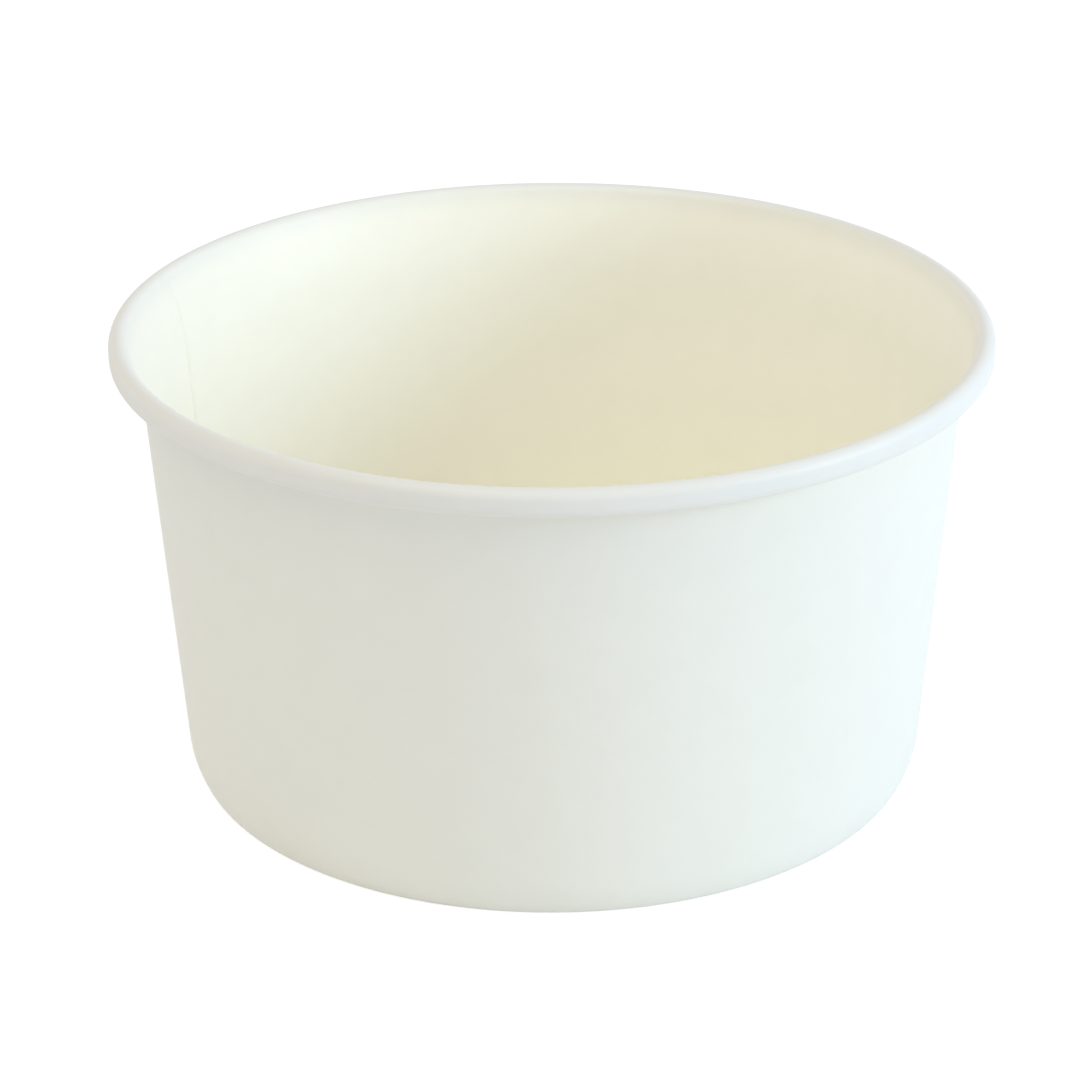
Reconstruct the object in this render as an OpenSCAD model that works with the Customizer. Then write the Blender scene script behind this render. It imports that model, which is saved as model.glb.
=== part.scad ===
// Paper sundae cup: a rolled, seamed side wall with a curled rim, and a drawn base disc gripped in its hem.
// Lengths are in mm. The cup stands on z = 0 with its axis on z.

/* [Cup] */
// Diameter over the rolled rim
rim_d = 115; // [105:1:130]
// Height from the table to the top of the rim
height = 61; // [50:0.5:90]
// Diameter at which the outside of the straight wall would reach the table
base_d = 98.5; // [92:0.5:102]

/* [Board] */
// Thickness of the side wall's board
board = 0.45; // [0.35:0.05:0.6]
// Thickness of the base disc's board
disc_board = 0.4; // [0.3:0.05:0.6]
// Sealing layer between the disc's skirt and the board on each side of it
seal_gap = 0.05; // [0.03:0.01:0.1]

/* [Rim] */
// Width of the rolled rim across its section
roll_width = 2.6; // [2.2:0.1:2.9]
// Height of the rolled rim, which is pressed taller than it is wide
roll_height = 3.6; // [3.3:0.1:4.5]
// Radius that leads the inside of the wall out into the roll
flare_radius = 40; // [34:1:50]
// How far the wall leans out from upright where the roll starts
flare_turn = 20; // [18:1:24]
// How far the free edge is turned in under the roll
curl_turn = 145; // [120:5:150]

/* [Foot] */
// Radius of the curve that leads the outside of the wall in to the fold
foot_radius = 10; // [6:0.5:14]
// How far that curve turns
foot_turn = 24; // [10:1:32]
// Height of the straight part of the hem inside the foot
hem_run = 2.6; // [1:0.2:4]
// Height of the cup's floor above the table
floor_height = 9; // [8:0.5:16]
// Radius of the bend from the floor into the skirt
floor_bend = 1.2; // [0.9:0.1:2]
// How much the fold is flattened where it stands on the table
foot_flat = 0.04; // [0.02:0.01:0.08]

/* [Seam] */
// Direction of the seam's inner edge round the axis
seam_angle = 160; // [0:1:359]
// Width of the lap from its inner edge to its outer edge
lap = 7; // [5:0.5:10]
// Width over which the outer layer comes down to the single wall
ramp = 3; // [2:0.5:5]
// How far up the flare the outer layer goes, as the lean from upright at its top
lap_lean = 14; // [12:1:16]
// Width of the line along the inner edge of the lap
edge_line = 0.3; // [0.2:0.05:0.5]
// Depth of that line
edge_depth = 0.2; // [0.1:0.05:0.25]

/* [Hidden] */
$fn = 96;
// largest distance between a round stretch of an outline and its chords
chord_error = 0.004;
// depth to which a layer is sunk into the one that carries it
sink = 0.1;
board_colour = "#F1F0EA";
inner_colour = "#EFEAD8";

// Rim: the roll's upper and lower turn, and the flare that leads into it
roll_radius = roll_width / 2;
roll_centre = [rim_d / 2 - roll_radius, height - roll_radius];
under_centre = roll_centre - [0, roll_height - roll_width];
flare_end = 180 - flare_turn;
flare_centre = roll_centre - (flare_radius - roll_radius) * direction(flare_end);

// Wall: the straight line from the base diameter that touches the outside of the flare
wall_foot = [base_d / 2, 0];
to_flare = flare_centre - wall_foot;
draft = atan2(to_flare[0], to_flare[1]) - asin((flare_radius - board) / norm(to_flare));
wall_run = [sin(draft), cos(draft)];
wall_out = [cos(draft), -sin(draft)];

// Foot: the fold holds the skirt between the wall and the hem
fold_radius = board + seal_gap + disc_board / 2;
foot_end = draft + foot_turn;
fold_height = fold_radius - foot_flat;
foot_centre_height = fold_height + (foot_radius - fold_radius) * sin(foot_end);
foot_start = (foot_centre_height - foot_radius * sin(draft)) / cos(draft);
foot_centre = wall_foot + foot_start * wall_run - foot_radius * wall_out;
fold_centre = foot_centre + (foot_radius - fold_radius) * direction(-foot_end);
skirt_radius = foot_radius - board - seal_gap;
hem_radius = skirt_radius - disc_board - seal_gap;

// Base disc: the bend touches the floor's top and the outside of the skirt
bend_height = floor_height - floor_bend;
skirt_depth = board + seal_gap;
bend_reach = base_d / 2 + bend_height * tan(draft) - (skirt_depth + floor_bend) / cos(draft);
bend_centre = [bend_reach, bend_height];

// Seam: angles round the axis, taken at the middle of the wall
seam_radius = (rim_d + base_d) / 4;
lap_turn = mm_to_turn(lap);
ramp_turn = mm_to_turn(ramp);
line_turn = mm_to_turn(edge_line);
ramp_drop = board + sink / 2 + ramp * ramp / (2 * seam_radius);
ramp_slope = atan2(ramp_drop, ramp);
ramp_height = norm(flare_line(board)[0] - wall_foot);
ramp_tool = [4 * board, 3 * ramp, ramp_height];

function direction(angle) = [cos(angle), sin(angle)];
function mm_to_turn(length) = length / seam_radius * 180 / PI;
function on_table(point) = [point[0], max(point[1], 0)];
function reversed(points) = [for (i = [len(points) - 1 : -1 : 0]) points[i]];

// Number of chords that keeps an arc within the chord error
function chords(radius, turn) = ceil(abs(turn) / (2 * acos(1 - chord_error / radius)));

// Points of an arc from one angle to another, with the first point left out when an arc runs on from another
function arc(centre, radius, from, to, first = 0) =
    let (n = chords(radius, to - from))
    [for (i = [first : n]) centre + radius * direction(from + (to - from) * i / n)];

// The side wall's sheet in section, as the line at a depth behind its food side, from the hem up to the flare
function hem_line(depth) =
    concat(
        [foot_centre + (hem_radius - depth) * direction(-draft) + hem_run * wall_run],
        arc(foot_centre, hem_radius - depth, -draft, -foot_end)
    );
function fold_line(depth) =
    [for (p = arc(fold_centre, fold_radius - board + depth, 180 - foot_end, 360 - foot_end, 1)) on_table(p)];
function foot_line(depth) =
    arc(foot_centre, foot_radius - board + depth, -foot_end, -draft, 1);
function flare_line(depth) =
    arc(flare_centre, flare_radius - depth, 180 - draft, flare_end);
function roll_line(depth) =
    concat(
        arc(roll_centre, roll_radius - depth, flare_end, 0, 1),
        arc(under_centre, roll_radius - depth, 0, -curl_turn)
    );

function sheet_line(depth) =
    concat(
        hem_line(depth),
        fold_line(depth),
        foot_line(depth),
        flare_line(depth),
        roll_line(depth)
    );
// The outer layer of the lap runs up the flare until the roll hides it
function lap_line(depth) =
    concat(
        hem_line(depth),
        fold_line(depth),
        foot_line(depth),
        arc(flare_centre, flare_radius - depth, 180 - draft, 180 - lap_lean)
    );
// The lap's inner edge shows from the floor up and over the roll
function edge_path(depth) =
    concat(
        [foot_line(depth)[len(foot_line(depth)) - 1]],
        flare_line(depth),
        roll_line(depth)
    );

// The disc's board in section, as the line at a depth below its food side
function disc_line(depth) =
    concat(
        [[0, floor_height - depth]],
        arc(bend_centre, floor_bend - depth, 90, -draft),
        arc(foot_centre, skirt_radius - depth, -draft, -foot_end)
    );

module layer(near_line, far_line) {
    polygon(concat(near_line, reversed(far_line)));
}

// The second layer of board outside the lap, which runs down to the single wall past the inner edge
module lap_layer() {
    difference() {
        rotate([0, 0, seam_angle - lap_turn])
            rotate_extrude(angle = lap_turn + ramp_turn)
                layer(lap_line(board - sink), lap_line(2 * board));
        rotate([0, 0, seam_angle])
            translate([wall_foot[0], 0, 0])
                rotate([0, draft, 0])
                    translate([board, 0, 0])
                        rotate([0, 0, ramp_slope])
                            translate([0, -ramp, 0])
                                cube(ramp_tool);
    }
}

module edge_groove() {
    rotate([0, 0, seam_angle])
        rotate_extrude(angle = line_turn)
            layer(edge_path(-sink), edge_path(edge_depth));
}

module side_wall() {
    color(board_colour)
        difference() {
            union() {
                rotate_extrude()
                    layer(sheet_line(0), sheet_line(board));
                lap_layer();
            }
            edge_groove();
        }
}

module base_disc() {
    color(inner_colour)
        rotate_extrude()
            layer(disc_line(0), disc_line(disc_board));
}

side_wall();
base_disc();
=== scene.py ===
"""Dresses the paper sundae cup: wrapped side wall, drawn base disc, their coated board and a pale stage."""

import logging
import math
from dataclasses import dataclass
from enum import Enum

import bmesh
import bpy
from mathutils import Matrix, Vector


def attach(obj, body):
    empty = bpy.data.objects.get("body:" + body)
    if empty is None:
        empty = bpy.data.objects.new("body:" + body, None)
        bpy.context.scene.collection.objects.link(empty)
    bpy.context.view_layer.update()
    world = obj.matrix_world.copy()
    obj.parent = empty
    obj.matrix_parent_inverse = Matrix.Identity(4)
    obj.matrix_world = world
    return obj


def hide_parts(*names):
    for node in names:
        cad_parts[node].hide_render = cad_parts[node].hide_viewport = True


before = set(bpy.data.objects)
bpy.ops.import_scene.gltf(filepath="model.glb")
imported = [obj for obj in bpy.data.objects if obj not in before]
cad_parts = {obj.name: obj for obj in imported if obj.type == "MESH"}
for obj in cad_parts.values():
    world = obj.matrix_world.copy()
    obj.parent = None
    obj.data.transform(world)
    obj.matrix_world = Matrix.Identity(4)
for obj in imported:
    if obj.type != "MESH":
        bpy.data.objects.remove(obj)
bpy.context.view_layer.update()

LOG = logging.getLogger("sundae_cup")
MM = 0.001
# Vertices of a sheet that lie closer than this, in mm, are one point.
MERGE_MM = 0.001
# Edges that turn by more than this, in degrees, stay crisp.
SHARP_TURN = 40.0
# Colour sockets of a Mix node, which shares their names with its other kinds of value.
MIX_FROM, MIX_TO, MIX_RESULT = 6, 7, 2


class Side(Enum):
    """The faces of a piece of board, as material slots of its mesh."""

    FOOD = 0
    OUTER = 1
    CUT = 2


def linear(hex_colour: str) -> tuple[float, float, float, float]:
    """Turns an sRGB hex colour to linear RGBA.

    Args:
        hex_colour: Six hex digits after a hash mark.

    Returns:
        The colour for a shader socket, with an alpha of 1.
    """
    parts = [int(hex_colour[i : i + 2], 16) / 255 for i in (1, 3, 5)]
    r, g, b = (c / 12.92 if c <= 0.04045 else ((c + 0.055) / 1.055) ** 2.4 for c in parts)
    return (r, g, b, 1.0)


def clamp(value: float, low: float = 0.0, high: float = 1.0) -> float:
    """Keeps a value between two bounds."""
    return min(max(value, low), high)


def add_node(
    tree: bpy.types.NodeTree,
    kind: str,
    settings: dict[str, object] | None = None,
    inputs: dict[str | int, object] | None = None,
) -> bpy.types.Node:
    """Adds a node with its settings, and sets or links its inputs.

    Args:
        tree: The node tree that gets the node.
        kind: The node's type name.
        settings: Properties of the node itself.
        inputs: Values for its inputs, where a socket value makes a link.

    Returns:
        The new node.
    """
    node = tree.nodes.new(kind)
    for name, value in (settings or {}).items():
        setattr(node, name, value)
    for name, value in (inputs or {}).items():
        if isinstance(value, bpy.types.NodeSocket):
            tree.links.new(value, node.inputs[name])
        else:
            node.inputs[name].default_value = value
    return node


def empty_material(name: str) -> tuple[bpy.types.Material, bpy.types.NodeTree]:
    """Makes a material with no nodes.

    Args:
        name: The material's name.

    Returns:
        The material and its empty node tree.
    """
    material = bpy.data.materials.new(name)
    material.use_nodes = True
    material.node_tree.nodes.clear()
    return material, material.node_tree


def polar(radius: float, angle: float) -> Vector:
    """Gives the offset at a distance and an angle in degrees, in the plane of the cup's section."""
    turn = math.radians(angle)
    return Vector((radius * math.cos(turn), 0.0, radius * math.sin(turn)))


@dataclass(frozen=True)
class CoatedBoard:
    """White cup board with a thin polymer coat: a soft sheen over cloudy fibre that a close look makes out.

    Attributes:
        name: The material's name.
        colour: Its colour as sRGB hex.
        inside_and_bounce_colour: Its colour inside the cup, partly the board's cream and partly painted
            warm bounce light.
        fade: Radii in mm between which that inside colour gives way to the plain one, partly painted light:
            bounce inside, shade on the roll.
        roughness: How matt the coat is.
        cloud_mm: Size of the fibre's cloudiness.
        fibre_mm: Size of the fibre grain, drawn coarser than real so that it shows.
        relief_mm: Height of the grain's relief.
        relief: Strength of that relief.
        noise_span: The part of a noise's range that most of its values lie in.
        cloud_shade: How light the darkest cloud is, as a share of the colour.
        gloss_spread: How far the grain moves the roughness up and down.
        ior: Refractive index of the coat.
    """

    name: str
    colour: str
    inside_and_bounce_colour: str
    fade: tuple[float, float] = (54.0, 56.1)
    roughness: float = 0.5
    cloud_mm: float = 5.0
    fibre_mm: float = 0.45
    relief_mm: float = 0.008
    relief: float = 0.35
    noise_span: tuple[float, float] = (0.3, 0.7)
    cloud_shade: float = 0.985
    gloss_spread: float = 0.04
    ior: float = 1.5

    def material(self) -> bpy.types.Material:
        """Makes the board's material.

        Returns:
            A node material on object coordinates.
        """
        material, tree = empty_material(self.name)
        place = add_node(tree, "ShaderNodeTexCoord").outputs["Object"]
        level = add_node(
            tree, "ShaderNodeVectorMath", {"operation": "MULTIPLY"}, {0: place, 1: (1.0, 1.0, 0.0)}
        )
        radius = add_node(
            tree, "ShaderNodeVectorMath", {"operation": "LENGTH"}, {0: level.outputs["Vector"]}
        )
        near, far = (mm * MM for mm in self.fade)
        low, high = self.noise_span
        rise = add_node(
            tree,
            "ShaderNodeMapRange",
            {"interpolation_type": "SMOOTHSTEP"},
            {"Value": radius.outputs["Value"], "From Min": near, "From Max": far},
        )
        # Painted light in part: towards the axis the colour turns to the inside colour, which paints the
        # cup's warm bounce light, while the roll keeps a darker plain colour.
        coat = add_node(
            tree,
            "ShaderNodeMix",
            {"data_type": "RGBA"},
            {
                "Factor": rise.outputs["Result"],
                MIX_FROM: linear(self.inside_and_bounce_colour),
                MIX_TO: linear(self.colour),
            },
        )
        cloud = add_node(
            tree,
            "ShaderNodeTexNoise",
            None,
            {"Vector": place, "Scale": 1 / (self.cloud_mm * MM), "Detail": 3.0, "Roughness": 0.55},
        )
        fibre = add_node(
            tree,
            "ShaderNodeTexNoise",
            None,
            {"Vector": place, "Scale": 1 / (self.fibre_mm * MM), "Detail": 2.0, "Roughness": 0.6},
        )
        shade = add_node(
            tree,
            "ShaderNodeMapRange",
            None,
            {
                "Value": cloud.outputs["Fac"],
                "From Min": low,
                "From Max": high,
                "To Min": self.cloud_shade,
                "To Max": 1.0,
            },
        )
        tone = add_node(
            tree,
            "ShaderNodeVectorMath",
            {"operation": "SCALE"},
            {0: coat.outputs[MIX_RESULT], "Scale": shade.outputs["Result"]},
        )
        gloss = add_node(
            tree,
            "ShaderNodeMapRange",
            None,
            {
                "Value": fibre.outputs["Fac"],
                "From Min": low,
                "From Max": high,
                "To Min": self.roughness - self.gloss_spread,
                "To Max": self.roughness + self.gloss_spread,
            },
        )
        relief = add_node(
            tree,
            "ShaderNodeBump",
            None,
            {
                "Strength": self.relief,
                "Distance": self.relief_mm * MM,
                "Height": fibre.outputs["Fac"],
            },
        )
        surface = add_node(
            tree,
            "ShaderNodeBsdfPrincipled",
            None,
            {
                "Base Color": tone.outputs["Vector"],
                "Roughness": gloss.outputs["Result"],
                "IOR": self.ior,
                "Normal": relief.outputs["Normal"],
            },
        )
        add_node(tree, "ShaderNodeOutputMaterial", None, {"Surface": surface.outputs["BSDF"]})
        return material


@dataclass(frozen=True)
class CutEdge:
    """The raw cut through the board: matt, fibrous and a little darker than the coat.

    Attributes:
        name: The material's name.
        colour: Colour of the pulp.
        dark_colour: Colour between the fibres.
        ply_mm: Thickness of the plies that show in the cut.
        roughness: How matt the pulp is.
        ior: Refractive index of the pulp.
    """

    name: str = "cut board edge"
    colour: str = "#EEEAE0"
    dark_colour: str = "#DFD9CB"
    ply_mm: float = 0.12
    roughness: float = 0.85
    ior: float = 1.45

    def material(self) -> bpy.types.Material:
        """Makes the cut edge's material.

        Returns:
            A node material on object coordinates.
        """
        material, tree = empty_material(self.name)
        place = add_node(tree, "ShaderNodeTexCoord").outputs["Object"]
        pulp = add_node(
            tree,
            "ShaderNodeTexNoise",
            None,
            {"Vector": place, "Scale": 1 / (self.ply_mm * MM), "Detail": 3.0, "Roughness": 0.7},
        )
        tone = add_node(
            tree,
            "ShaderNodeMix",
            {"data_type": "RGBA"},
            {
                "Factor": pulp.outputs["Fac"],
                MIX_FROM: linear(self.dark_colour),
                MIX_TO: linear(self.colour),
            },
        )
        surface = add_node(
            tree,
            "ShaderNodeBsdfPrincipled",
            None,
            {
                "Base Color": tone.outputs[MIX_RESULT],
                "Roughness": self.roughness,
                "IOR": self.ior,
            },
        )
        add_node(tree, "ShaderNodeOutputMaterial", None, {"Surface": surface.outputs["BSDF"]})
        return material


@dataclass(frozen=True)
class CupSizes:
    """The cup's sizes in mm and the section's centres that follow from them.

    Rim and height are a hair under the part's own, so that the finished board stays inside the part's box.
    """

    rim_d: float = 114.96
    height: float = 60.98
    base_d: float = 98.5
    board: float = 0.45
    disc_board: float = 0.4
    seal_gap: float = 0.05
    roll_width: float = 2.6
    roll_height: float = 3.6
    flare_radius: float = 40.0
    flare_turn: float = 20.0
    curl_turn: float = 145.0
    foot_radius: float = 10.0
    foot_turn: float = 24.0
    hem_run: float = 2.6
    floor_height: float = 9.0
    floor_bend: float = 1.2
    foot_flat: float = 0.04
    seam_angle: float = 160.0
    lap: float = 7.0
    ramp: float = 3.0
    lap_lean: float = 14.0

    @property
    def roll_radius(self) -> float:
        """Radius of the roll's upper and lower turn."""
        return self.roll_width / 2

    @property
    def roll_centre(self) -> Vector:
        """Centre of the roll's upper turn."""
        return Vector((self.rim_d / 2 - self.roll_radius, 0.0, self.height - self.roll_radius))

    @property
    def under_centre(self) -> Vector:
        """Centre of the roll's lower turn."""
        return self.roll_centre - Vector((0.0, 0.0, self.roll_height - self.roll_width))

    @property
    def flare_centre(self) -> Vector:
        """Centre of the curve that leads the wall into the roll."""
        return self.roll_centre - polar(self.flare_radius - self.roll_radius, 180 - self.flare_turn)

    @property
    def draft(self) -> float:
        """Lean of the straight wall in degrees, on the line that touches the outside of the flare."""
        reach = self.flare_centre - Vector((self.base_d / 2, 0.0, 0.0))
        lean = math.atan2(reach.x, reach.z) - math.asin((self.flare_radius - self.board) / reach.length)
        return math.degrees(lean)

    @property
    def wall_run(self) -> Vector:
        """Unit step up the straight wall."""
        return polar(1.0, 90 - self.draft)

    @property
    def fold_radius(self) -> float:
        """Radius of the outside of the fold that holds the skirt."""
        return self.board + self.seal_gap + self.disc_board / 2

    @property
    def foot_end(self) -> float:
        """Angle at which the foot's curve hands over to the fold."""
        return self.draft + self.foot_turn

    @property
    def foot_centre(self) -> Vector:
        """Centre of the curve that leads the wall in to the fold."""
        draft = math.radians(self.draft)
        rise = self.fold_radius - self.foot_flat
        rise += (self.foot_radius - self.fold_radius) * math.sin(math.radians(self.foot_end))
        start = (rise - self.foot_radius * math.sin(draft)) / math.cos(draft)
        foot = Vector((self.base_d / 2, 0.0, 0.0)) + self.wall_run * start
        return foot - polar(self.foot_radius, -self.draft)

    @property
    def fold_centre(self) -> Vector:
        """Centre of the fold."""
        return self.foot_centre + polar(self.foot_radius - self.fold_radius, -self.foot_end)

    @property
    def skirt_radius(self) -> float:
        """Radius of the outside of the skirt round the foot's centre."""
        return self.foot_radius - self.board - self.seal_gap

    @property
    def hem_radius(self) -> float:
        """Radius of the hem's food side round the foot's centre."""
        return self.skirt_radius - self.disc_board - self.seal_gap

    @property
    def bend_centre(self) -> Vector:
        """Centre of the bend from the floor into the skirt."""
        draft = math.radians(self.draft)
        rise = self.floor_height - self.floor_bend
        inset = (self.board + self.seal_gap + self.floor_bend) / math.cos(draft)
        return Vector((self.base_d / 2 + rise * math.tan(draft) - inset, 0.0, rise))

    def turn_of(self, length: float) -> float:
        """Gives the angle in degrees that a length takes up round the middle of the wall."""
        return math.degrees(length / ((self.rim_d + self.base_d) / 4))


@dataclass
class BoardLine:
    """A line of board in section, drawn by straight runs and by bends round a centre.

    Attributes:
        mesh: The bmesh that holds the line, in metres.
        tip: The vertex that the next stretch starts from.
    """

    mesh: bmesh.types.BMesh
    tip: bmesh.types.BMVert

    @classmethod
    def start(cls, place: Vector) -> "BoardLine":
        """Starts a line at a place in mm."""
        mesh = bmesh.new()
        return cls(mesh, mesh.verts.new(place * MM))

    def run_to(self, place: Vector, steps: int = 1) -> None:
        """Draws a straight stretch.

        Args:
            place: Where it ends, in mm.
            steps: Number of edges along it.
        """
        step = (place * MM - self.tip.co) / steps
        for _ in range(steps):
            grown = bmesh.ops.extrude_vert_indiv(self.mesh, verts=[self.tip])
            self.tip = grown["verts"][0]
            bmesh.ops.translate(self.mesh, vec=step, verts=[self.tip])

    def bend(self, centre: Vector, turn: float, steps: int) -> None:
        """Draws a round stretch.

        Args:
            centre: Centre of the bend, in mm.
            turn: Angle of the bend in degrees, positive from outward to up.
            steps: Number of edges along it.
        """
        grown = bmesh.ops.spin(
            self.mesh,
            geom=[self.tip],
            cent=centre * MM,
            axis=(0.0, -1.0, 0.0),
            angle=math.radians(turn),
            steps=steps,
        )
        self.tip = next(g for g in grown["geom_last"] if isinstance(g, bmesh.types.BMVert))


@dataclass
class BoardPiece:
    """A piece of board: its sizes, its finishes and the mesh made from them.

    Attributes:
        sizes: The cup's sizes.
        name: Name of the finished piece.
        node: CAD node that it stands for.
        slot: The record's material slot; not used.
        finishes: The material of each side.
    """

    sizes: CupSizes
    name: str
    node: str
    slot: str
    finishes: dict[Side, bpy.types.Material]

    def thicken(self, mesh: bmesh.types.BMesh, thickness: float) -> None:
        """Gives a sheet its thickness and marks its food side, outer side and cut edges.

        Args:
            mesh: The sheet, with its normals on the food side.
            thickness: Board thickness in mm.
        """
        food = set(mesh.verts)
        bmesh.ops.solidify(mesh, geom=list(mesh.faces), thickness=thickness * MM)
        for face in mesh.faces:
            kept = sum(v in food for v in face.verts)
            side = Side.FOOD if kept == len(face.verts) else Side.OUTER if kept == 0 else Side.CUT
            face.material_index = side.value

    def finish(self, mesh: bmesh.types.BMesh) -> bpy.types.Object:
        """Args:
            mesh: The finished bmesh.

        Returns:
            The object, at the origin.
        """
        data = bpy.data.meshes.new(self.name)
        mesh.to_mesh(data)
        mesh.free()
        data.shade_smooth()
        data.set_sharp_from_angle(angle=math.radians(SHARP_TURN))
        self.dress(data)
        piece = bpy.data.objects.new(self.name, data)
        bpy.context.scene.collection.objects.link(piece)
        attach(piece, "root")
        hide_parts(self.node)
        return piece

    def dress(self, data: bpy.types.Mesh) -> None:
        """Gives each side of the piece its finish."""
        for side in Side:
            data.materials.append(self.finishes[side])


@dataclass
class SideWall(BoardPiece):
    """The side wall: one blank bent in section, wrapped once round, lapped at the seam.

    Attributes:
        hem_steps: Edges along the hem's bend.
        fold_steps: Edges along the fold.
        foot_steps: Edges along the foot's curve.
        wall_steps: Edges along the straight wall.
        flare_steps: Edges along the flare, below the top of the lap and again above it.
        roll_steps: Edges along the roll's upper turn and again along its lower one.
        wrap_steps: Steps round the wrap between the two ends of the blank.
        edge_steps: Steps across the pressed edge beside the seam's line.
        press_steps: Steps across the rest of the pressed strip.
        lap_steps: Steps across the ramp and again across the lap.
        lap_gap: Thickness of the sealing layer in the lap, in mm.
        edge_gap: Width of the fine line along the lap's inner edge, in mm.
        edge_depth: How deep the seam's line lies under the wall's food side, in mm.
        edge_run: Width over which the pressed edge rises from that line, in mm.
        press_run: Width of the strip along that edge that the seam's press has thinned, in mm.
        press_depth: How much thinner the board is in that strip beside the edge, in mm.
        top_lean: Turn of the flare within which the lap's outer layer ends, in degrees.
        floor_fade: Height above the floor up to which the coat fills part of the seam's line, in mm.
        floor_share: Share of the line's depth that is left beside the floor.
        flare_slack: How far a point may be off the flare's circle and still lie on it, in mm.
    """

    hem_steps: int = 6
    fold_steps: int = 12
    foot_steps: int = 8
    wall_steps: int = 12
    flare_steps: int = 8
    roll_steps: int = 16
    wrap_steps: int = 300
    edge_steps: int = 4
    press_steps: int = 5
    lap_steps: int = 8
    lap_gap: float = 0.03
    edge_gap: float = 0.01
    edge_depth: float = 0.34
    edge_run: float = 0.3
    press_run: float = 3.0
    press_depth: float = 0.08
    top_lean: float = 0.6
    floor_fade: float = 5.0
    floor_share: float = 0.3
    flare_slack: float = 0.01

    @property
    def full_lift(self) -> float:
        """Distance from one layer's food side to the other's in the lap, in mm."""
        return self.sizes.board + self.lap_gap

    def draw_section(self) -> bmesh.types.BMesh:
        """Bends the food side's line from the hem's edge to the edge turned in under the roll.

        Returns:
            A bmesh with the open line in the plane of x and z.
        """
        s = self.sizes
        hem_low = s.foot_centre + polar(s.hem_radius, -s.draft)
        line = BoardLine.start(hem_low + s.wall_run * s.hem_run)
        line.run_to(hem_low)
        line.bend(s.foot_centre, -s.foot_turn, self.hem_steps)
        line.bend(s.fold_centre, 180, self.fold_steps)
        line.bend(s.foot_centre, s.foot_turn, self.foot_steps)
        line.run_to(s.flare_centre + polar(s.flare_radius, 180 - s.draft), self.wall_steps)
        line.bend(s.flare_centre, s.draft - s.lap_lean, self.flare_steps)
        line.bend(s.flare_centre, -self.top_lean, 1)
        line.bend(s.flare_centre, s.lap_lean + self.top_lean - s.flare_turn, self.flare_steps)
        line.bend(s.roll_centre, s.flare_turn - 180, self.roll_steps)
        line.run_to(s.under_centre + polar(s.roll_radius, 0))
        line.bend(s.under_centre, -s.curl_turn, self.roll_steps)
        return line.mesh

    def wrap(self, mesh: bmesh.types.BMesh) -> list[int]:
        """Wraps the section once round the axis and on over its own start.

        Args:
            mesh: The section's line, which becomes the sheet.

        Returns:
            How many vertices the sheet has after its pressed strip, its single layer, its ramp, the gap at
            the seam's line and its lap.
        """
        s = self.sizes
        edge, press, ramp, gap, lap = (
            s.turn_of(run) for run in (self.edge_run, self.press_run, s.ramp, self.edge_gap, s.lap)
        )
        start = Matrix.Rotation(math.radians(s.seam_angle), 3, "Z")
        bmesh.ops.rotate(mesh, cent=(0, 0, 0), matrix=start, verts=list(mesh.verts))
        tail = list(mesh.verts) + list(mesh.edges)
        stretches = (
            (edge, self.edge_steps),
            (press - edge, self.press_steps),
            (360 - ramp - press, self.wrap_steps),
            (ramp - gap, self.lap_steps),
            (gap, 1),
            (lap, self.lap_steps),
        )
        counts = []
        for turn, steps in stretches:
            grown = bmesh.ops.spin(
                mesh, geom=tail, cent=(0, 0, 0), axis=(0, 0, -1), angle=math.radians(turn), steps=steps
            )
            tail = grown["geom_last"]
            counts.append(len(mesh.verts))
        mesh.verts.ensure_lookup_table()
        return counts[1:]

    def face_food_side(self, mesh: bmesh.types.BMesh) -> None:
        """Turns the sheet's normals to the food side, which faces the axis on the straight wall.

        Args:
            mesh: The sheet.
        """
        bmesh.ops.recalc_face_normals(mesh, faces=list(mesh.faces))
        middle = self.sizes.height * MM / 2
        probe = min(mesh.faces, key=lambda f: abs(f.calc_center_median().z - middle))
        if probe.normal.dot(probe.calc_center_median().xy.to_3d()) > 0:
            bmesh.ops.reverse_faces(mesh, faces=list(mesh.faces))
        mesh.normal_update()

    def past_edge(self, vert: bmesh.types.BMVert) -> float:
        """Gives the angle in degrees from the seam's inner edge to a vertex, the way that the wrap runs.

        Args:
            vert: A vertex of the sheet.

        Returns:
            An angle that is negative on the half turn before the edge.
        """
        turn = self.sizes.seam_angle - math.degrees(math.atan2(vert.co.y, vert.co.x))
        return (turn + 180) % 360 - 180

    def lean_of(self, vert: bmesh.types.BMVert) -> float:
        """Gives how far the sheet leans out from upright at a vertex.

        Args:
            vert: A vertex of the sheet's food side.

        Returns:
            The lean in degrees, which is that of the flare's end all over the roll.
        """
        s = self.sizes
        reach = Vector((vert.co.xy.length, 0.0, vert.co.z)) / MM - s.flare_centre
        if reach.length < s.flare_radius - self.flare_slack:
            return s.flare_turn
        return 180 - math.degrees(math.atan2(reach.z, reach.x)) % 360

    def lapped(self, vert: bmesh.types.BMVert) -> float:
        """Gives 1 for a vertex up to the top of the lap, and 0 above it."""
        above = (self.lean_of(vert) - self.sizes.lap_lean) / self.top_lean
        return clamp(1 - above)

    def lined(self, vert: bmesh.types.BMVert) -> float:
        """Tells how much of its depth the seam's line has at a vertex.

        Args:
            vert: A vertex of the sheet's food side.

        Returns:
            1 on the wall, less by the floor, and falling to 0 at the end of the flare.
        """
        s = self.sizes
        upper = (s.flare_turn - self.lean_of(vert)) / (s.flare_turn - s.lap_lean)
        lower = (vert.co.z / MM - s.floor_height) / self.floor_fade
        return math.sqrt(clamp(upper)) * clamp(lower, self.floor_share)

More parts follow.
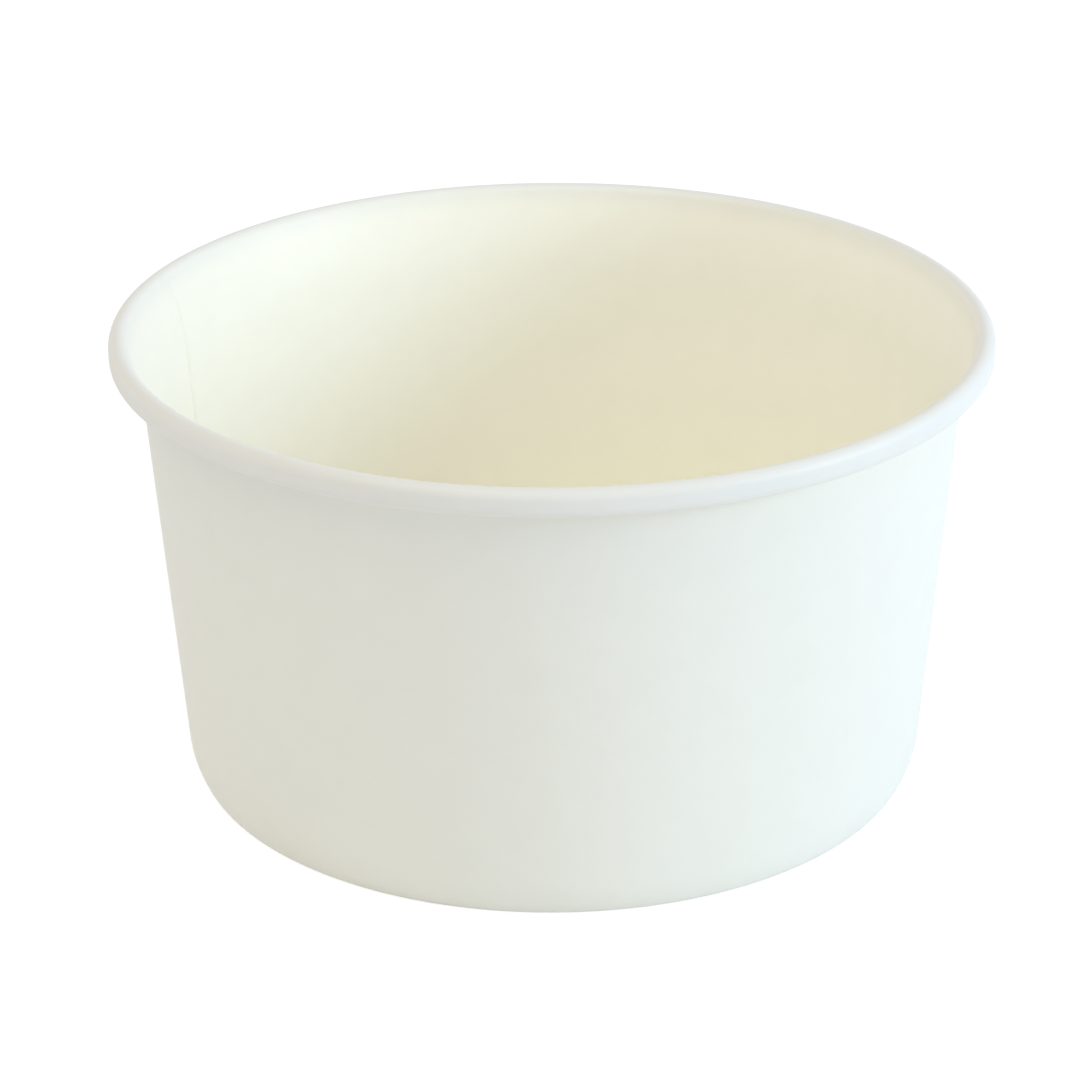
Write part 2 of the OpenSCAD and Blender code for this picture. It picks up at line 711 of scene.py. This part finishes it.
    def pressed_depth(self, vert: bmesh.types.BMVert) -> float:
        """Gives how far the press has pushed in the food side beside the lap's inner edge.

        Args:
            vert: A vertex of the pressed strip.

        Returns:
            The depth in mm, which is that of the seam's line at the edge itself.
        """
        past = self.past_edge(vert) / self.sizes.turn_of(1.0)
        strip = self.press_depth * (1 - past / self.press_run)
        return strip + (self.edge_depth - self.press_depth) * max(1 - past / self.edge_run, 0.0)

    def steps_along(self, moves: dict[bmesh.types.BMVert, float]) -> dict[bmesh.types.BMVert, Vector]:
        """Turns distances along the normals to steps, while the normals are still those of the thin sheet.

        Args:
            moves: The distance in mm for each vertex, positive to the food side.

        Returns:
            The step for each vertex that the sheet still has, in metres.
        """
        return {v: v.normal * (distance * MM) for v, distance in moves.items() if v.is_valid}

    def plan_seam(
        self, verts: list[bmesh.types.BMVert], counts: list[int]
    ) -> tuple[dict[bmesh.types.BMVert, float], dict[bmesh.types.BMVert, float]]:
        """Works out the seam's form while the sheet still lies in its plain round.

        Args:
            verts: The sheet's vertices in the order of the wrap.
            counts: How many of them come before the end of each stretch, as the wrap gives them.

        Returns:
            How far the outer layer is lifted off, and how far the food side moves afterwards, both in mm.
        """
        s = self.sizes
        pressed, single, ramped, edged, _ = counts
        ramp = s.turn_of(s.ramp)
        held = {v: self.lapped(v) for v in verts}
        line = {v: self.lined(v) for v in verts}
        climb = {v: clamp(1 + self.past_edge(v) / ramp) for v in verts[single:]}
        lift = {v: self.full_lift * held[v] * climb[v] for v in verts[single:]}
        moves = {v: -self.pressed_depth(v) * line[v] for v in verts[:pressed]}
        moves.update({v: lift[v] - self.edge_depth * line[v] * climb[v] for v in verts[single:ramped]})
        moves.update({v: -self.edge_depth * line[v] * (1 - held[v]) for v in verts[ramped:edged]})
        return lift, moves

    def lay_lap(
        self,
        mesh: bmesh.types.BMesh,
        lap: list[bmesh.types.BMVert],
        lift: dict[bmesh.types.BMVert, float],
    ) -> None:
        """Lays the lap over the start of the sheet, cuts it off at its top and closes the sheet above it.

        Args:
            mesh: The sheet, with its normals on the food side.
            lap: The vertices past the seam's line.
            lift: How far each lifted vertex goes off the food side, in mm.
        """
        for v, step in self.steps_along({v: -lift[v] for v in lift}).items():
            v.co += step
            v.co.z = max(v.co.z, lift[v] * MM)
        hidden = {v for v in lap if lift[v] < self.full_lift / 2}
        spare = [f for f in mesh.faces if any(v in hidden for v in f.verts)]
        bmesh.ops.delete(mesh, geom=spare, context="FACES")
        bmesh.ops.remove_doubles(mesh, verts=list(mesh.verts), dist=MERGE_MM * MM)
        self.face_food_side(mesh)

    def build(self) -> bpy.types.Object:
        """Builds the side wall.

        Returns:
            The finished object.
        """
        mesh = self.draw_section()
        counts = self.wrap(mesh)
        self.face_food_side(mesh)
        verts = list(mesh.verts)
        lift, moves = self.plan_seam(verts, counts)
        edged = counts[-2]
        self.lay_lap(mesh, verts[edged:], lift)
        steps = self.steps_along(moves)
        self.thicken(mesh, self.sizes.board)
        for v, step in steps.items():
            v.co += step
        for v in mesh.verts:
            v.co.z = max(v.co.z, 0.0)
        return self.finish(mesh)


@dataclass
class BaseDisc(BoardPiece):
    """The base: one round of board with its edge drawn down into a skirt.

    Attributes:
        round_steps: Steps round the axis.
        floor_steps: Edges from the axis to the bend.
        bend_steps: Edges along the bend.
        skirt_steps: Edges along the skirt's curve.
    """

    round_steps: int = 200
    floor_steps: int = 10
    bend_steps: int = 8
    skirt_steps: int = 6

    def build(self) -> bpy.types.Object:
        """Builds the base disc.

        Returns:
            The finished object.
        """
        s = self.sizes
        line = BoardLine.start(Vector((0.0, 0.0, s.floor_height)))
        line.run_to(s.bend_centre + polar(s.floor_bend, 90), self.floor_steps)
        line.bend(s.bend_centre, -90 - s.draft, self.bend_steps)
        line.run_to(s.foot_centre + polar(s.skirt_radius, -s.draft))
        line.bend(s.foot_centre, -s.foot_turn, self.skirt_steps)
        mesh = line.mesh
        bmesh.ops.spin(
            mesh,
            geom=list(mesh.verts) + list(mesh.edges),
            cent=(0, 0, 0),
            axis=(0, 0, 1),
            angle=math.tau,
            steps=self.round_steps,
            use_merge=True,
        )
        bmesh.ops.remove_doubles(mesh, verts=list(mesh.verts), dist=MERGE_MM * MM)
        bmesh.ops.recalc_face_normals(mesh, faces=list(mesh.faces))
        if min(mesh.faces, key=lambda f: f.calc_center_median().xy.length).normal.z < 0:
            bmesh.ops.reverse_faces(mesh, faces=list(mesh.faces))
        mesh.normal_update()
        self.thicken(mesh, s.disc_board)
        return self.finish(mesh)


@dataclass(frozen=True)
class Lamp:
    """A round softbox that faces the cup.

    Attributes:
        name: The lamp's name.
        place: Where it hangs, in metres.
        width: Its diameter in metres.
        power: Its power in watts.
        colour: Colour of its light as sRGB hex.
    """

    name: str
    place: tuple[float, float, float]
    width: float
    power: float
    colour: str

    def hang(self, aim: Vector) -> bpy.types.Object:
        """Hangs the lamp.

        Args:
            aim: The place that it faces.

        Returns:
            The lamp's object.
        """
        light = bpy.data.lights.new(self.name, "AREA")
        light.shape = "DISK"
        light.size = self.width
        light.energy = self.power
        light.color = linear(self.colour)[:3]
        lamp = bpy.data.objects.new(self.name, light)
        lamp.location = self.place
        lamp.rotation_euler = (aim - Vector(self.place)).to_track_quat("-Z", "Y").to_euler()
        bpy.context.scene.collection.objects.link(lamp)
        return lamp


@dataclass
class Stage:
    """The pale floor, the soft studio light and the camera at the photograph's angle.

    Attributes:
        floor_colour: Colour of the floor.
        floor_reach: Half the floor's width in metres.
        white: How much of the floor's white the camera sees without any shadow.
        shade: How much of the floor's own light and shadow the camera sees on top of that.
        room_colour: Colour of the even room light.
        room_strength: Strength of that light.
        lamps: A cool key low at the right and a warm fill above.
        camera_distance: From the cup's middle to the camera, in metres.
        camera_rise: Angle of the camera above level, in degrees.
        camera_roll: Turn of the camera about its own axis, in degrees.
        focal_px: Focal length in pixels of the photograph's frame.
        centre_px: Where the cup's middle falls in that frame.
        look_height: Height of the cup's middle in metres.
        frame_px: Width and height of the photograph's frame.
        sensor_mm: Width of the camera's sensor.
    """

    floor_colour: str = "#FAFAF8"
    floor_reach: float = 3.0
    white: float = 0.8
    shade: float = 0.3
    room_colour: str = "#F5F5FF"
    room_strength: float = 0.68
    lamps: tuple[Lamp, ...] = (
        Lamp("key_right", (1.097, -0.315, 0.401), 0.5, 7.2, "#D3EDFF"),
        Lamp("fill_above", (-0.35, -0.3, 0.95), 0.9, 3.16, "#FFF4B8"),
    )
    camera_distance: float = 0.465
    camera_rise: float = 23.909
    camera_roll: float = -0.2865
    focal_px: float = 3476.85
    centre_px: tuple[float, float] = (552.85, 532.53)
    look_height: float = 0.0305
    frame_px: float = 1080.0
    sensor_mm: float = 36.0

    def seen_directly(self, tree: bpy.types.NodeTree) -> bpy.types.NodeSocket:
        """Adds the test for rays that come from the camera or by way of a reflection or a clear body.

        Args:
            tree: The node tree that gets the test.

        Returns:
            A socket that is 1 on such a ray and 0 on light that bounces.
        """
        path = add_node(tree, "ShaderNodeLightPath")
        found = path.outputs["Is Camera Ray"]
        for kind in ("Is Glossy Ray", "Is Transmission Ray"):
            both = {0: found, 1: path.outputs[kind]}
            found = add_node(tree, "ShaderNodeMath", {"operation": "MAXIMUM"}, both).outputs[0]
        return found

    def lay_floor(self) -> bpy.types.Object:
        """Lays the floor, which is seen as white apart from the cup's faint shadow.

        Returns:
            The floor's object.
        """
        mesh = bmesh.new()
        bmesh.ops.create_grid(mesh, x_segments=1, y_segments=1, size=self.floor_reach)
        data = bpy.data.meshes.new("floor")
        mesh.to_mesh(data)
        mesh.free()
        # Matt white paper: it takes a faint soft shadow and gives no reflection.
        material, tree = empty_material("white paper ground")
        ground = add_node(tree, "ShaderNodeBsdfDiffuse", None, {"Color": linear(self.floor_colour)})
        grey = (self.shade, self.shade, self.shade, 1.0)
        shaded = add_node(tree, "ShaderNodeBsdfDiffuse", None, {"Color": grey})
        white = add_node(tree, "ShaderNodeEmission", None, {"Strength": self.white})
        seen = add_node(tree, "ShaderNodeAddShader", None, {0: white.outputs[0], 1: shaded.outputs[0]})
        ways = {"Fac": self.seen_directly(tree), 1: ground.outputs[0], 2: seen.outputs[0]}
        mixed = add_node(tree, "ShaderNodeMixShader", None, ways)
        add_node(tree, "ShaderNodeOutputMaterial", None, {"Surface": mixed.outputs[0]})
        data.materials.append(material)
        floor = bpy.data.objects.new("floor", data)
        bpy.context.scene.collection.objects.link(floor)
        return floor

    def light_room(self) -> None:
        """Sets the even room light, which is seen as white, and hangs the lamps."""
        world = bpy.data.worlds.new("pale room")
        bpy.context.scene.world = world
        world.use_nodes = True
        tree = world.node_tree
        tree.nodes.clear()
        tint = {"Color": linear(self.room_colour), "Strength": self.room_strength}
        room = add_node(tree, "ShaderNodeBackground", None, tint)
        white = add_node(tree, "ShaderNodeBackground", None, {"Color": linear("#FFFFFF"), "Strength": 1.0})
        ways = {"Fac": self.seen_directly(tree), 1: room.outputs[0], 2: white.outputs[0]}
        mixed = add_node(tree, "ShaderNodeMixShader", None, ways)
        add_node(tree, "ShaderNodeOutputWorld", None, {"Surface": mixed.outputs[0]})
        for lamp in self.lamps:
            lamp.hang(Vector((0.0, 0.0, self.look_height)))

    def set_camera(self) -> bpy.types.Object:
        """Places the camera.

        Returns:
            The camera's object.
        """
        data = bpy.data.cameras.new("photo_camera")
        data.sensor_width = self.sensor_mm
        data.lens = self.focal_px / self.frame_px * self.sensor_mm
        data.shift_x = (self.frame_px / 2 - self.centre_px[0]) / self.frame_px
        data.shift_y = (self.centre_px[1] - self.frame_px / 2) / self.frame_px
        data.clip_start = self.camera_distance / 10
        camera = bpy.data.objects.new("photo_camera", data)
        rise = math.radians(self.camera_rise)
        back = Vector((0.0, -math.cos(rise), math.sin(rise)))
        turn = Matrix.Rotation(math.radians(90 - self.camera_rise), 4, "X")
        turn = turn @ Matrix.Rotation(math.radians(self.camera_roll), 4, "Z")
        place = Vector((0.0, 0.0, self.look_height)) + back * self.camera_distance
        camera.matrix_world = Matrix.Translation(place) @ turn
        bpy.context.scene.collection.objects.link(camera)
        bpy.context.scene.camera = camera
        return camera

    def build(self) -> None:
        """Sets up camera, floor, light and the view's colours."""
        self.set_camera()
        self.lay_floor()
        self.light_room()
        bpy.context.scene.view_settings.view_transform = "Standard"


def main() -> None:
    """Builds the stage and the cup's pieces."""
    logging.basicConfig(level=logging.INFO, format="%(name)s: %(message)s")
    sizes = CupSizes()
    white = CoatedBoard("coated cup board, outside", "#E9E9E1", "#E9E9E1", roughness=0.5)
    # Food side: paler and warmer inside the cup than on the roll, partly painted bounce light inside and
    # painted shade on the roll.
    cream = CoatedBoard("coated cup board, food side", "#E4E4E0", "#F9F7EB", roughness=0.52)
    sides = {Side.FOOD: cream.material(), Side.OUTER: white.material(), Side.CUT: CutEdge().material()}
    Stage().build()
    wall = SideWall(sizes, "side_wall_board", "side_wall", "coated_board", sides)
    disc = BaseDisc(sizes, "base_disc_board", "base_disc", "base_board", sides)
    for maker in (wall, disc):
        piece = maker.build()
        LOG.info("%s: %d faces", piece.name, len(piece.data.polygons))


if __name__ == "__main__":
    main()
